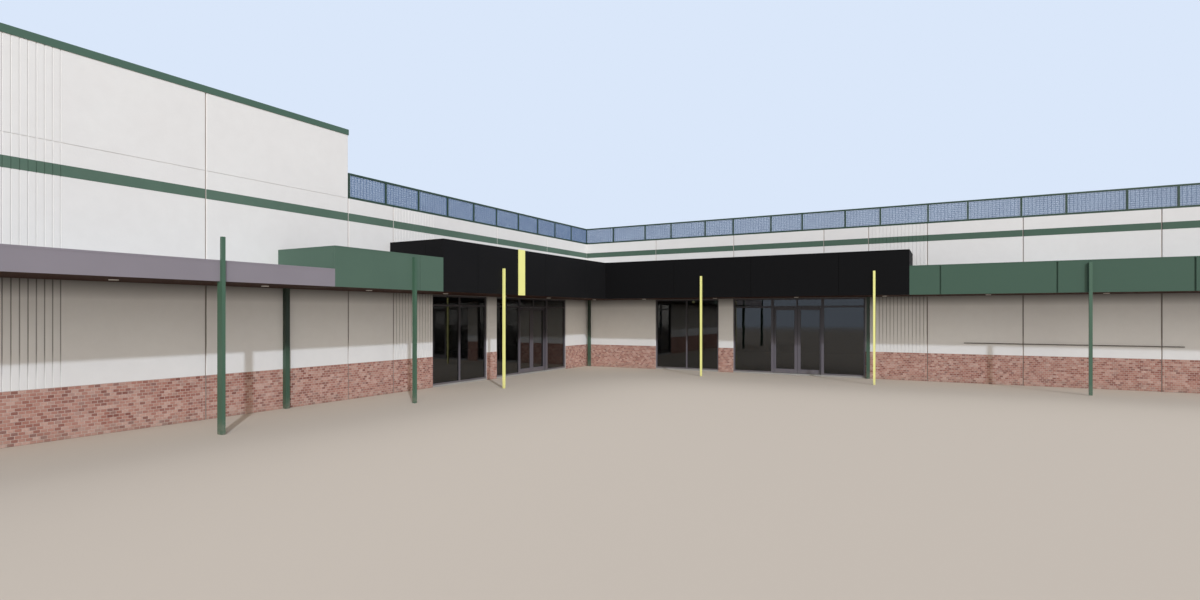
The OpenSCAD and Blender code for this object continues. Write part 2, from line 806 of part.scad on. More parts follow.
module west_leaf_south() color(charcoal) on_west_front() right_of(west_door_mid) leaf();
module west_leaf_north() color(charcoal) on_west_front() left_of(west_door_mid) leaf();
module north_leaf_west() color(charcoal) on_north_front() left_of(north_door_mid) leaf();
module north_leaf_east() color(charcoal) on_north_front() right_of(north_door_mid) leaf();
module leaf_glass_ws() color(glass_grey, 0.5) on_west_front() right_of(west_door_mid) leaf_pane();
module leaf_glass_wn() color(glass_grey, 0.5) on_west_front() left_of(west_door_mid) leaf_pane();
module leaf_glass_nw() color(glass_grey, 0.5) on_north_front() left_of(north_door_mid) leaf_pane();
module leaf_glass_ne() color(glass_grey, 0.5) on_north_front() right_of(north_door_mid) leaf_pane();

west_front_panels();
north_front_panels();
front_piers();
south_end_panels();
west_back_panels();
north_back_panels();
east_end_panels();
parapet_return();
west_brick_facing();
north_brick_facing();
rear_brick_facing();
painted_stripe();
joint_sealant();
parapet_capping();
wall_coping();
west_screen_frame();
north_screen_frame();
screen_mesh();
floor_slab();
opening_sills();
west_roof_deck();
north_roof_deck();
roof_steel();
low_fascia();
green_fascias();
west_entrance_fascia();
north_entrance_fascia();
canopy_soffit();
canopy_deck();
downlights();
yellow_fin();
green_posts();
yellow_posts();
downpipes();
window_frames();
sidelight_frames();
glazing();
door_tracks();
west_leaf_south();
west_leaf_north();
north_leaf_west();
north_leaf_east();
leaf_glass_ws();
leaf_glass_wn();
leaf_glass_nw();
leaf_glass_ne();
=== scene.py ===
import math

import bmesh
import bpy
from mathutils import Matrix, Vector


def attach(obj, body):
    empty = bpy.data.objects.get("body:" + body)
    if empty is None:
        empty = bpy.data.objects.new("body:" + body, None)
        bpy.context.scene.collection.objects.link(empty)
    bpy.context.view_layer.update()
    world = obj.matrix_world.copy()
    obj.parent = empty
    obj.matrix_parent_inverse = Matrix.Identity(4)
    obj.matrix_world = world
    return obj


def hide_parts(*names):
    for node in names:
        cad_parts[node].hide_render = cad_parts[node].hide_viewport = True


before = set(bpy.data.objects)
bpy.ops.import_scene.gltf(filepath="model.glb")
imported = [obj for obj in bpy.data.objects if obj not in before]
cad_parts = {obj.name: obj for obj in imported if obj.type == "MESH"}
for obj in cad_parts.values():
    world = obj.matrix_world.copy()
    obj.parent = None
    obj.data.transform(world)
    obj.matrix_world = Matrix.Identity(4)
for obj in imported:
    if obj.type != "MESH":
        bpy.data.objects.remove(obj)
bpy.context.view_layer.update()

# Sizes in metres, taken from the CAD model. The inside corner of the L is at CORNER.
CORNER = Vector((-4.7, 4.4, 0))
WEST_LEN = 22.0
NORTH_LEN = 22.6
DEPTH = 13.2
WALL_T = 0.18
BACK = DEPTH - WALL_T
WALL_H = 5.306
PARAPET_H = 7.119
PARAPET_START = 12.56
PARAPET_SIDE = 3.43
CANOPY_D = 2.0
FASCIA_T = 0.05
CANOPY_IN = CANOPY_D - FASCIA_T
SOFFIT_Z = 2.86
BLACK_TOP = 4.28
GREEN_TOP = 3.765
GREY_TOP = 3.25
WEST_BLACK_END = 11.13
WEST_GREEN_END = 14.55
NORTH_BLACK_END = 12.8
FIN = (7.43, 7.76)
LIGHTS = {
    "west": (1.03, 4.45, 7.1, 9.9, 12.7, 15.5, 18.33, 21.3),
    "north": (3.2, 6.14, 9.14, 12.0, 14.95, 17.86, 20.8),
}
LIGHT_OUT = 0.95
DECK_Z = 4.41
DECK_FALL = 0.04
COPING_TOP = WALL_H + 0.02

# Corners closer than WELD are one, what is closer than ON_PLANE to a face lies on it, and
# places and lengths are told apart by so many decimals
WELD = 0.0005
ON_PLANE = 0.001
DECIMALS = 4


# Each wall's frame: a distance along the wall, a distance out of it, and a height
def west(t, out, z):
    return CORNER + Vector((out, -t, z))


def north(s, out, z):
    return CORNER + Vector((s, -out, z))


def south_end(x, out, z):
    return CORNER + Vector((x - DEPTH, -WEST_LEN - out, z))


def west_back(x, out, z):
    return CORNER + Vector((-DEPTH - out, x - WEST_LEN, z))


def north_back(x, out, z):
    return CORNER + Vector((x - DEPTH, DEPTH + out, z))


def east_end(x, out, z):
    return CORNER + Vector((NORTH_LEN + out, DEPTH - x, z))


FRONTS = {"west": west, "north": north}


def deck_top(d):
    """Height of the roof deck at a depth behind the outside of the front wall."""
    return DECK_Z - (d - WALL_T) * DECK_FALL


def bevelled(bm, edges, width):
    """Bevels edges of a small bmesh, turns it into a mesh and frees it. A bevel leaves corners
    and faces in another order in each run, and a brick's shade hangs on that order, so the mesh
    has them in an order of place."""
    bmesh.ops.bevel(bm, geom=list(edges), offset=width, segments=1, profile=0.5,
                    affect="EDGES", material=-1)
    corners = sorted(bm.verts, key=lambda v: [round(c, DECIMALS) for c in v.co])
    number = {v: i for i, v in enumerate(corners)}
    faces = []
    for f in bm.faces:
        ring = [number[v] for v in f.verts]
        first = ring.index(min(ring))
        faces.append(ring[first:] + ring[:first])
    mesh = bpy.data.meshes.new("template")
    mesh.from_pydata([v.co for v in corners], [], sorted(faces))
    bm.free()
    return mesh


def box(bm, a, b, bevel=0.0):
    """A box between two opposite corners, with bevelled edges if a bevel is given."""
    low = Vector(map(min, a, b))
    high = Vector(map(max, a, b))
    place = Matrix.Translation((low + high) / 2) @ Matrix.Diagonal((*(high - low), 1))
    if not bevel:
        bmesh.ops.create_cube(bm, size=1, matrix=place)
        return
    lone = bmesh.new()
    bmesh.ops.create_cube(lone, size=1, matrix=place)
    shaped = bevelled(lone, lone.edges, bevel)
    bm.from_mesh(shaped)
    bpy.data.meshes.remove(shaped)


def prism(bm, outline, step):
    """A solid: an outline of points, carried along a step."""
    first = [bm.verts.new(p) for p in outline]
    last = [bm.verts.new(Vector(p) + Vector(step)) for p in outline]
    faces = [bm.faces.new(first), bm.faces.new(last[::-1])]
    for i in range(len(outline)):
        faces.append(bm.faces.new((first[i], first[i - 1], last[i - 1], last[i])))
    bmesh.ops.recalc_face_normals(bm, faces=faces)


def bar(bm, wall, outline, start, end):
    """A bar along a wall, from its outline in distance out and height."""
    prism(bm, [wall(start, out, z) for out, z in outline], wall(end, 0, 0) - wall(start, 0, 0))


def disc(bm, at, low_r, high_r, depth, sides):
    """An upright disc or cone whose foot is at a point."""
    bmesh.ops.create_cone(bm, cap_ends=True, segments=sides, radius1=low_r, radius2=high_r,
                          depth=depth, matrix=Matrix.Translation(at + Vector((0, 0, depth / 2))))


def stamp(bm, template, place):
    """Adds a copy of a template mesh."""
    copy = template.copy()
    copy.transform(place)
    bm.from_mesh(copy)
    bpy.data.meshes.remove(copy)


def mesh_of(bm, name="template"):
    """Turns a bmesh into a mesh, and frees it."""
    mesh = bpy.data.meshes.new(name)
    bm.to_mesh(mesh)
    bm.free()
    return mesh


def piece(name, bm, materials, body="building", stands_for=()):
    """Makes a piece of the object from a bmesh."""
    made = bpy.data.objects.new(name, mesh_of(bm, name))
    for material in materials:
        made.data.materials.append(material)
    bpy.context.scene.collection.objects.link(made)
    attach(made, body)
    if stands_for:
        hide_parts(*stands_for)


def solids(node):
    """The separate solids of a CAD node, each as a list of its corners."""
    bm = bmesh.new()
    bm.from_mesh(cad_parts[node].data)
    bmesh.ops.remove_doubles(bm, verts=bm.verts, dist=WELD)
    left = dict.fromkeys(bm.verts)
    found = []
    while left:
        reached = [next(iter(left))]
        del left[reached[0]]
        for v in reached:
            near = [e.other_vert(v) for e in v.link_edges if e.other_vert(v) in left]
            for other in near:
                del left[other]
            reached.extend(near)
        found.append([v.co.copy() for v in reached])
    bm.free()
    return found


def span(points):
    """Lowest and highest corner of some points."""
    low = Vector(min(p[i] for p in points) for i in range(3))
    high = Vector(max(p[i] for p in points) for i in range(3))
    return low, high


def colour(code):
    """Linear colour of an sRGB hex code."""
    parts = [int(code[i:i + 2], 16) / 255 for i in (0, 2, 4)]
    return (*[c / 12.92 if c <= 0.04045 else ((c + 0.055) / 1.055) ** 2.4 for c in parts], 1)


def plug(tree, node, inputs):
    """Sets a node's inputs: another node's output is linked, anything else is its value."""
    for key, value in inputs.items():
        if isinstance(value, bpy.types.NodeSocket):
            tree.links.new(value, node.inputs[key])
        else:
            node.inputs[key].default_value = value


def add(tree, kind, inputs, out=0, stops=(), **settings):
    """Adds a node with its settings and links, and gives one of its outputs."""
    node = tree.nodes.new("ShaderNode" + kind)
    for name, value in settings.items():
        setattr(node, name, value)
    for i, (position, code) in enumerate(stops):
        if i > 1:
            node.color_ramp.elements.new(position)
        node.color_ramp.elements[i].position = position
        node.color_ramp.elements[i].color = colour(code)
    plug(tree, node, inputs)
    return node.outputs[out]


def surface(name, sockets):
    """A new material, with its nodes, its shader and the object's coordinates."""
    material = bpy.data.materials.new(name)
    material.use_nodes = True
    tree = material.node_tree
    shader = tree.nodes["Principled BSDF"]
    plug(tree, shader, sockets)
    return material, tree, shader, add(tree, "TexCoord", {}, out="Object")


# How far from its middle, 0.5, the noise mostly stays
NOISE_REACH = 0.2


def patches(tree, at, size, sharp=1.0, stretch=(1, 1, 1)):
    """Soft patches of about a size in metres, from 0 to 1, stretched by divisors."""
    spread = add(tree, "Mapping", {"Vector": at, "Scale": [1 / (size * s) for s in stretch]})
    cloud = add(tree, "TexNoise", {"Vector": spread, "Scale": 1.0, "Detail": 4.0, "Roughness": 0.6})
    reach = NOISE_REACH / sharp
    return add(tree, "MapRange", {"Value": cloud, "From Min": 0.5 - reach, "From Max": 0.5 + reach})


def tinted(tree, amount, share, ground, over):
    """A ground colour, covered by another where an amount says, up to a share."""
    part = add(tree, "Math", {0: amount, 1: share}, operation="MULTIPLY")
    return add(tree, "Mix", {0: part, 6: ground, 7: over}, out=2, data_type="RGBA")


def dusted(tree, at, ground, share, dust="A9A59B"):
    """Dust that has settled on faces that look up."""
    facing = add(tree, "NewGeometry", {}, out="Normal")
    up = add(tree, "SeparateXYZ", {0: facing}, out="Z")
    flat = add(tree, "MapRange", {"Value": up, "From Min": 0.6, "From Max": 0.95})
    uneven = add(tree, "Math", {0: flat, 1: patches(tree, at, 0.5)}, operation="MULTIPLY")
    return tinted(tree, uneven, share, ground, colour(dust))


def splashed(tree, at, ground, share, height, soil="8F867A"):
    """Soil splashed up from the footpath, fading with height."""
    z = add(tree, "SeparateXYZ", {0: at}, out="Z")
    low = add(tree, "MapRange", {"Value": z, "From Min": height, "From Max": 0.0})
    uneven = add(tree, "Math", {0: low, 1: patches(tree, at, 0.12)}, operation="MULTIPLY")
    return tinted(tree, uneven, share, ground, colour(soil))


# How far past a face of the west wing the north wing's colour begins
PAST_FACE = 0.01


def two_wings(tree, at, tone, code, out):
    """The west wing's tone, and another colour on the north wing, past the west wing's face
    that stands this far out of its wall."""
    east = add(tree, "SeparateXYZ", {0: at}, out="X")
    past = add(tree, "Math", {0: east, 1: CORNER.x + out + PAST_FACE}, operation="GREATER_THAN")
    return tinted(tree, past, 1.0, tone, colour(code))


# Painted shade on the shop fronts, in the band where the canopy casts its shadow. The heights below
# say where it begins, where it is full, and where it fades out, up behind the canopy and out of
# sight.
SHADE_START_Z = 1.1
SHADE_FULL_Z = 1.6
SHADE_END_Z = SOFFIT_Z + 0.1
SHADE_GONE_Z = SOFFIT_Z + 0.2
SOFFIT_SHADE_H = 0.34
GROOVE_D = 0.011


def canopy_shade_band(tree, at):
    """1 from the soffit down to the edge of the canopy's shadow on the shop fronts, and 0 elsewhere:
    the band where shade is painted.
    """
    z = add(tree, "SeparateXYZ", {0: at}, out="Z")
    below = add(tree, "MapRange", {"Value": z, "From Min": SHADE_GONE_Z, "From Max": SHADE_END_Z})
    above = add(tree, "MapRange", {"Value": z, "From Min": SHADE_START_Z, "From Max": SHADE_FULL_Z})
    return add(tree, "Math", {0: below, 1: above}, operation="MULTIPLY")


def under_soffit(tree, at):
    """1 where a shop front meets the soffit, fading out below it: where deeper shade is painted."""
    z = add(tree, "SeparateXYZ", {0: at}, out="Z")
    close = add(tree, "MapRange", {"Value": z, "From Min": SOFFIT_Z - SOFFIT_SHADE_H, "From Max": SOFFIT_Z})
    return add(tree, "Math", {0: close, 1: canopy_shade_band(tree, at)}, operation="MULTIPLY")


def groove_depth(tree, at):
    """1 in the grooves of the shop fronts' faces, and 0 on the faces and in anything much deeper.
    Both faces meet at the inside corner, so the deeper of the distances behind them counts."""
    spot = add(tree, "VectorMath", {0: at, 1: CORNER}, operation="SUBTRACT")
    east = add(tree, "SeparateXYZ", {0: spot}, out="X")
    behind_north = add(tree, "SeparateXYZ", {0: spot}, out="Y")
    behind_west = add(tree, "Math", {0: east, 1: -1.0}, operation="MULTIPLY")
    depth = add(tree, "Math", {0: behind_west, 1: behind_north}, operation="MAXIMUM")
    sunk = add(tree, "MapRange", {"Value": depth, "From Min": ON_PLANE, "From Max": GROOVE_D * 0.7})
    shallow = add(tree, "MapRange", {
        "Value": depth, "From Min": GROOVE_D * 2, "From Max": GROOVE_D * 1.2})
    return add(tree, "Math", {0: sunk, 1: shallow}, operation="MULTIPLY")


def painted_concrete(name, light, dark, grooved=False, north_code=""):
    """Precast concrete under two coats of rolled masonry paint: matt, in broad patches a shade
    apart. The roller's stipple of 3 mm is drawn at 30 mm, to show. Shop fronts get painted shade in
    their grooves within the canopy's shadow, and a deeper painted shade below its soffit. The north
    wing can have a colour of their own."""
    material, tree, shader, at = surface(name, {"Roughness": 0.85, "Specular IOR Level": 0.15})
    cloudy = tinted(tree, patches(tree, at, 1.7), 1.0, colour(light), colour(dark))
    if north_code:
        cloudy = two_wings(tree, at, cloudy, north_code, 0)
    painted = tinted(tree, patches(tree, at, 0.25, 1.6), 0.03, cloudy, colour("8F8B84"))
    if grooved:
        # Painted shade in the grooves, within the band where the canopy casts its shadow
        groove_shade = add(tree, "Math", {0: groove_depth(tree, at), 1: canopy_shade_band(tree, at)},
                   operation="MULTIPLY")
        painted = tinted(tree, groove_shade, 0.6, painted, colour("4F4942"))
        # Painted shade where the wall meets the soffit
        painted = tinted(tree, under_soffit(tree, at), 0.72, painted, colour("2B2420"))
    stipple = patches(tree, at, 0.03)
    raised = add(tree, "Bump", {"Height": stipple, "Distance": 0.0012, "Strength": 0.5})
    plug(tree, shader, {"Base Color": painted, "Normal": raised})
    return material


def wirecut_brick():
    """Wire-cut clay bricks: each brick has its own red, from plum to pale pink, with mottled fired
    patches, and drag marks along the face. The marks of 2 mm are drawn at 8 mm."""
    material, tree, shader, at = surface(
        "wirecut_clay_brick", {"Roughness": 0.9, "Specular IOR Level": 0.25})
    own = add(tree, "NewGeometry", {}, out="Random Per Island")
    reds = add(tree, "ValToRGB", {0: own}, stops=(
        (0.0, "764840"), (0.15, "8D5B50"), (0.4, "A47466"), (0.68, "B18779"), (0.88, "C1A194"),
        (1.0, "7F5B54")))
    fired = tinted(tree, patches(tree, at, 0.05, 1.5), 0.3, reds, colour("86594E"))
    pale = tinted(tree, patches(tree, at, 0.6), 0.15, fired, colour("CFB4A8"))
    soiled = splashed(tree, at, pale, 0.5, 0.25)
    drag = patches(tree, at, 0.008, 1.0, (4, 4, 1))
    raised = add(tree, "Bump", {"Height": drag, "Distance": 0.002, "Strength": 0.7})
    plug(tree, shader, {"Base Color": soiled, "Normal": raised})
    return material


def mortar():
    """Pale sanded mortar, raked back a little: dusty and rough. Grit of 1 mm is drawn at 5 mm."""
    material, tree, shader, at = surface(
        "sanded_mortar", {"Roughness": 0.95, "Specular IOR Level": 0.2})
    sandy = tinted(tree, patches(tree, at, 0.25), 0.6, colour("BDA99F"), colour("A89388"))
    soiled = splashed(tree, at, sandy, 0.5, 0.25)
    grit = patches(tree, at, 0.005)
    raised = add(tree, "Bump", {"Height": grit, "Distance": 0.0015, "Strength": 0.6})
    plug(tree, shader, {"Base Color": soiled, "Normal": raised})
    return material


def sealant():
    """Gunned polyurethane in the panel joints: soft sheen, tooled in ripples, and darkened by
    painted shade within the canopy's shadow."""
    material, tree, shader, at = surface(
        "tooled_sealant", {"Roughness": 0.6, "Specular IOR Level": 0.4})
    uneven = tinted(tree, patches(tree, at, 0.3), 0.5, colour("AA9F97"), colour("8E857D"))
    # Painted shade in the band where the canopy casts its shadow
    shaded_bead = tinted(tree, canopy_shade_band(tree, at), 0.55, uneven, colour("3F3935"))
    ripples = patches(tree, at, 0.04)
    raised = add(tree, "Bump", {"Height": ripples, "Distance": 0.002, "Strength": 0.5})
    plug(tree, shader, {"Base Color": shaded_bead, "Normal": raised})
    return material


def folded_steel(name, code, faded):
    """Prepainted steel, folded on a press: an even satin skin that buckles very slightly between
    its folds, dusty on top."""
    material, tree, shader, at = surface(name, {"Roughness": 0.45, "Specular IOR Level": 0.4})
    sunned = tinted(tree, patches(tree, at, 1.1), 0.5, colour(code), colour(faded))
    top = dusted(tree, at, sunned, 0.35)
    buckles = patches(tree, at, 0.6)
    raised = add(tree, "Bump", {"Height": buckles, "Distance": 0.004, "Strength": 0.5})
    plug(tree, shader, {"Base Color": top, "Normal": raised})
    return material


def coated_wire():
    """Powder-coated woven wire: blue-grey, softly shining, chalked a little by the weather."""
    material, tree, shader, at = surface("coated_woven_wire", {"Roughness": 0.5})
    chalked = tinted(tree, patches(tree, at, 0.4), 0.5, colour("4E678A"), colour("67819F"))
    plug(tree, shader, {"Base Color": chalked})
    return material


def trowelled_concrete():
    """Power-trowelled floor: grey, with burnished swirls where the blades passed longest."""
    material, tree, shader, at = surface("trowelled_concrete", {"Specular IOR Level": 0.45})
    swirl = patches(tree, at, 0.7)
    grey = tinted(tree, swirl, 0.7, colour("9C9A95"), colour("85837E"))
    fine = tinted(tree, patches(tree, at, 0.03), 0.2, grey, colour("B4B2AC"))
    gloss = add(tree, "MapRange", {"Value": swirl, "To Min": 0.3, "To Max": 0.6})
    plug(tree, shader, {"Base Color": fine, "Roughness": gloss})
    return material


def roof_sheet():
    """Prepainted ribbed roof sheet: pale grey, satin, with patches of dirt that rain leaves."""
    material, tree, shader, at = surface("ribbed_roof_sheet", {"Roughness": 0.45})
    aged = tinted(tree, patches(tree, at, 1.4), 0.6, colour("B9BCBC"), colour("A7AAA9"))
    dirt = tinted(tree, patches(tree, at, 0.14, 1.6), 0.25, aged, colour("7E7B73"))
    buckles = patches(tree, at, 0.5)
    raised = add(tree, "Bump", {"Height": buckles, "Distance": 0.003, "Strength": 0.4})
    plug(tree, shader, {"Base Color": dirt, "Normal": raised})
    return material


def primed_steel():
    """Structural steel in one coat of grey primer: dull, sprayed thin and thick in patches, with
    the mill scale's grain below."""
    material, tree, shader, at = surface("primed_structural_steel", {"Roughness": 0.65})
    sprayed = tinted(tree, patches(tree, at, 0.35, 1.2), 0.6, colour("8C8F92"), colour("74787C"))
    scale = patches(tree, at, 0.012)
    raised = add(tree, "Bump", {"Height": scale, "Distance": 0.0006, "Strength": 0.6})
    plug(tree, shader, {"Base Color": sprayed, "Normal": raised})
    return material


def composite_panel(name, code, faded, roughness, specular, north_code=""):
    """Aluminium composite cladding: a smooth roller-coated face, so flat that only a slow waver
    shows in its reflections, with dust on its edges that look up. The north wing's panels can
    have a colour of their own, a shade darker."""
    material, tree, shader, at = surface(
        name, {"Roughness": roughness, "Specular IOR Level": specular})
    even = tinted(tree, patches(tree, at, 1.3), 0.6, colour(code), colour(faded))
    if north_code:
        even = two_wings(tree, at, even, north_code, CANOPY_D)
    top = dusted(tree, at, even, 0.4)
    waver = patches(tree, at, 0.9)
    raised = add(tree, "Bump", {"Height": waver, "Distance": 0.004, "Strength": 0.35})
    plug(tree, shader, {"Base Color": top, "Normal": raised})
    return material


def soffit_sheet():
    """Prepainted soffit boards: dull chocolate brown, a little lighter in dusty patches, with a
    fine grain. The grain of 2 mm is drawn at 20 mm."""
    material, tree, shader, at = surface(
        "prepainted_soffit_board", {"Roughness": 0.7, "Specular IOR Level": 0.1})
    brown = tinted(tree, patches(tree, at, 0.9), 0.6, colour("351F17"), colour("3E271D"))
    grain = patches(tree, at, 0.02)
    raised = add(tree, "Bump", {"Height": grain, "Distance": 0.0004, "Strength": 0.5})
    plug(tree, shader, {"Base Color": brown, "Normal": raised})
    return material


def powder_coat(name, code, faded, shade_share=0.0):
    """Powder-coated steel: satin, with an orange-peel skin, faded in slow patches, and soiled
    at its foot. The peel of 2 mm is drawn at 12 mm. A share of painted shade can darken it in the
    band where the canopy casts its shadow."""
    material, tree, shader, at = surface(name, {"Roughness": 0.42, "Specular IOR Level": 0.45})
    sunned = tinted(tree, patches(tree, at, 0.8), 0.7, colour(code), colour(faded))
    if shade_share:
        # Painted shade within the canopy's shadow
        sunned = tinted(tree, canopy_shade_band(tree, at), shade_share, sunned, colour("10120F"))
    soiled = splashed(tree, at, sunned, 0.6, 0.3)
    top = dusted(tree, at, soiled, 0.3)
    peel = patches(tree, at, 0.012)
    raised = add(tree, "Bump", {"Height": peel, "Distance": 0.0004, "Strength": 0.7})
    plug(tree, shader, {"Base Color": top, "Normal": raised})
    return material


def coated_aluminium():
    """Powder-coated shopfront aluminium: grey with a metallic fleck and a soft sheen, darkened to
    charcoal by painted shade where the canopy casts its shadow. The fleck and the peel, both under
    1 mm, are drawn at 6 and 10 mm."""
    material, tree, shader, at = surface(
        "coated_shopfront_aluminium", {"Roughness": 0.4, "Metallic": 0.1})
    fleck = tinted(tree, patches(tree, at, 0.006, 2.5), 0.25, colour("5C585F"), colour("706C73"))
    # Painted shade within the canopy's shadow
    shaded_frame = tinted(tree, canopy_shade_band(tree, at), 0.65, fleck, colour("161516"))
    soiled = splashed(tree, at, shaded_frame, 0.5, 0.25)
    peel = patches(tree, at, 0.01)
    raised = add(tree, "Bump", {"Height": peel, "Distance": 0.0003, "Strength": 0.6})
    plug(tree, shader, {"Base Color": soiled, "Normal": raised})
    return material


def tinted_glass():
    """Grey tinted float glass: dark from outside, clear in its reflections, which waver a little
    as toughened panes do. Its index stands above plain glass for the reflecting coat."""
    material, tree, shader, at = surface("tinted_float_glass", {
        "Base Color": colour("4A5358"), "Roughness": 0.005, "Transmission Weight": 1.0, "IOR": 1.65})
    waver = patches(tree, at, 0.35)
    raised = add(tree, "Bump", {"Height": waver, "Distance": 0.0002, "Strength": 0.4})
    plug(tree, shader, {"Normal": raised})
    return material


def rubber():
    """Extruded EPDM gasket: near black, dull, greyed by dust."""
    material, tree, shader, at = surface("extruded_gasket_rubber", {"Roughness": 0.75})
    grey = tinted(tree, patches(tree, at, 0.08), 0.5, colour("1D1D1D"), colour("343330"))
    plug(tree, shader, {"Base Color": grey})
    return material


def cast_trim():
    """White die-cast trim ring: stoved enamel, smooth, faintly yellowed."""
    material, tree, shader, at = surface("stoved_white_trim", {"Roughness": 0.35})
    aged = tinted(tree, patches(tree, at, 0.05), 0.5, colour("ECEAE4"), colour("DFDBCF"))
    plug(tree, shader, {"Base Color": aged})
    return material


def opal_lens():
    """Opal acrylic lens: milky, with soft gloss and a little dust near its rim."""
    material, tree, shader, at = surface("opal_acrylic_lens", {"Roughness": 0.25, "IOR": 1.49})
    milky = tinted(tree, patches(tree, at, 0.03), 0.4, colour("F0EFEA"), colour("D9D6CC"))
    plug(tree, shader, {"Base Color": milky})
    return material


concrete = painted_concrete("painted_precast_concrete", "DDDDDB", "DAD9D7")
front_concrete = painted_concrete("painted_shop_front_concrete", "DDDDDB", "DAD9D7", grooved=True)
stripe_paint = painted_concrete("painted_stripe_green", "587063", "4F6659", north_code="4B6255")
brick = wirecut_brick()
bed = mortar()
bead = sealant()
green_steel = folded_steel("prepainted_folded_steel", "405B4C", "4A6355")
screen_steel = folded_steel("prepainted_screen_steel", "223A2D", "2A4335")
wire = coated_wire()
floor_concrete = trowelled_concrete()
sheet = roof_sheet()
primer = primed_steel()
grey_panel = composite_panel("composite_panel_grey", "837E85", "7D787F", 0.5, 0.3)
green_panel = composite_panel("composite_panel_green", "4F6659", "4A6054", 0.55, 0.15, "435B4E")
black_panel = composite_panel("composite_panel_black", "161617", "1A1A1B", 0.6, 0.05, "121213")
brown_soffit = soffit_sheet()
yellow_coat = powder_coat("powder_coat_yellow", "EBEA95", "E4E38F")
green_coat = powder_coat("powder_coat_green", "41604D", "3B5847")
# The last number is the share of painted shade under the canopy
pipe_coat = powder_coat("powder_coat_pipe_green", "3A5443", "344C3D", 0.65)
charcoal = coated_aluminium()
glass = tinted_glass()
gasket = rubber()
trim = cast_trim()
lens = opal_lens()
rail_coat = powder_coat("powder_coat_grey_brown", "4B453C", "433D35")

for material, nodes in (
    (front_concrete, ("west_front_panels", "north_front_panels", "front_piers")),
    (concrete, ("south_end_panels", "west_back_panels", "north_back_panels", "east_end_panels",
                "parapet_return")),
    (bead, ("joint_sealant",)),
    (green_steel, ("parapet_capping", "wall_coping")),
    (screen_steel, ("west_screen_frame", "north_screen_frame")),
    (floor_concrete, ("floor_slab", "opening_sills")),
    (sheet, ("west_roof_deck", "north_roof_deck", "canopy_deck")),
    (primer, ("roof_steel",)),
    (grey_panel, ("low_fascia",)),
    (green_panel, ("green_fascias",)),
    (black_panel, ("west_entrance_fascia", "north_entrance_fascia")),
    (trim, ("downlights",)),
    (yellow_coat, ("yellow_fin", "yellow_posts")),
    (green_coat, ("green_posts",)),
    (pipe_coat, ("downpipes",)),
    (charcoal, ("window_frames", "sidelight_frames", "door_tracks", "west_leaf_south",
                "west_leaf_north", "north_leaf_west", "north_leaf_east")),
    (glass, ("glazing", "leaf_glass_ws", "leaf_glass_wn", "leaf_glass_nw", "leaf_glass_ne")),
):
    for node in nodes:
        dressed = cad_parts[node].data
        dressed.materials.clear()
        dressed.materials.append(material)


STRIPE_MID = 4.819
PAINT_BELOW = 0.017
PAINT_ABOVE = 0.009

# The stripe's paint, lapped a little past the skin that stands in for it
bm = bmesh.new()
bm.from_mesh(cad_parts["painted_stripe"].data)
upper = [v for v in bm.verts if v.co.z > STRIPE_MID]
lower = [v for v in bm.verts if v.co.z < STRIPE_MID]
bmesh.ops.translate(bm, verts=upper, vec=(0, 0, PAINT_ABOVE))
bmesh.ops.translate(bm, verts=lower, vec=(0, 0, -PAINT_BELOW))
piece("stripe_paint", bm, (stripe_paint,), stands_for=("painted_stripe",))


BRICK_L = 0.09
BRICK_H = 0.049
JOINT = 0.01
COURSE = BRICK_H + JOINT
COURSES = 16
BRICK_IN = 0.014
BRICK_BEVEL = 0.003
RAKED = 0.004
BED_SHY = 0.001
FACING_T = 0.03
LEAST_CUT = 0.03
LEAST_MITRE = 0.02

brick_templates = {}


def brick_template(length, left, right):
    """A brick whose face looks to -Y, with mitred ends where the wall turns a corner."""
    key = (round(length, DECIMALS), left, right)
    if key not in brick_templates:
        bm = bmesh.new()
        box(bm, (0, 0, 0), (length, BRICK_IN, BRICK_H))
        for v in bm.verts:
            if v.co.y > BRICK_IN / 2:
                v.co.x += BRICK_IN if left and v.co.x < length / 2 else 0
                v.co.x -= BRICK_IN if right and v.co.x > length / 2 else 0
        front = [e for e in bm.edges if all(v.co.y < ON_PLANE for v in e.verts)]
        brick_templates[key] = bevelled(bm, front, BRICK_BEVEL)
    return brick_templates[key]


def lengths_of_course(run, first):
    """Brick lengths that fill a course, whose last brick is cut to fit. Where the cut would be
    a sliver, it shares the last two lengths evenly."""
    lengths = [min(first, run)]
    left = run - first - JOINT
    while left > BRICK_L:
        lengths.append(BRICK_L)
        left -= BRICK_L + JOINT
    if left >= LEAST_CUT:
        lengths.append(left)
    elif left > -JOINT:
        shared = (lengths.pop() + JOINT + left - JOINT) / 2
        lengths.extend([shared, shared])
    return lengths


